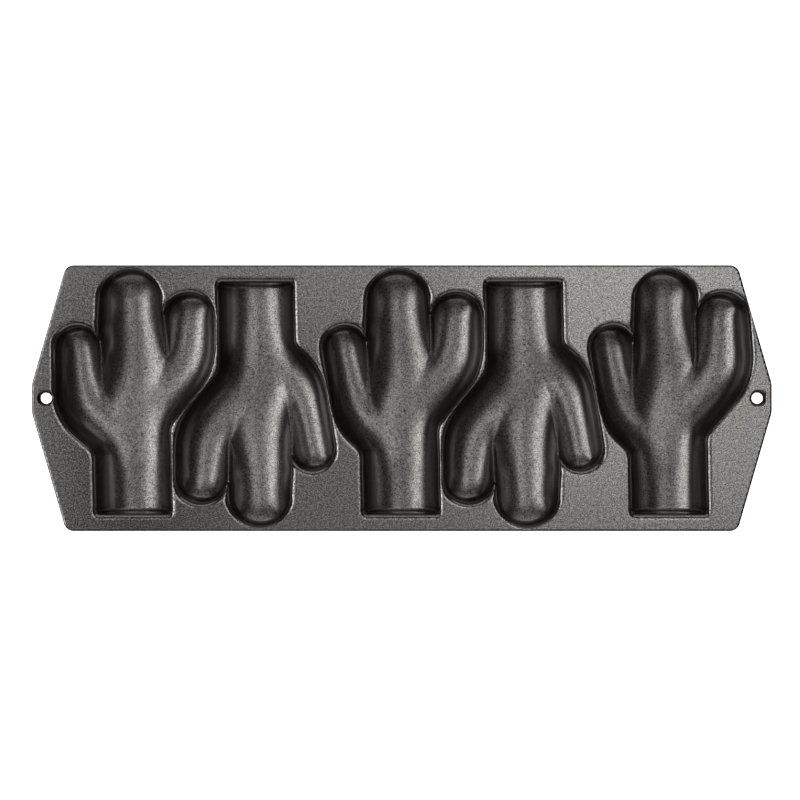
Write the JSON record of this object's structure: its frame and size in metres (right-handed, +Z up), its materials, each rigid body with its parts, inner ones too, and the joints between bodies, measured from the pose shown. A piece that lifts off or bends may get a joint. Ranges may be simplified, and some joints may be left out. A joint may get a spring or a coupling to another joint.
{
  "type": "cactus baking pan",
  "caption": "Shallow cast iron baking pan with nested round-bottomed cactus moulds under a flat deck with tapered ends and hanging holes.",
  "frame": {"origin": "on the surface that the pan stands on, under the middle of the deck", "axes": "+X along the pan towards the end whose outermost cup has its taller arm there, +Y across it towards the tips of the upright cactuses, +Z up out of the cups"},
  "size_m": [0.3704, 0.1332, 0.0231],
  "materials": {
    "seasoned_iron": "sand-cast skin with a baked oil seasoning, semi-matt, fine even grain"
  },
  "bodies": {
    "root": {"deck": "seasoned_iron", "cactus_cup_1": "seasoned_iron", "cactus_cup_2": "seasoned_iron", "cactus_cup_3": "seasoned_iron", "cactus_cup_4": "seasoned_iron", "cactus_cup_5": "seasoned_iron"}
  },
  "joints": []
}
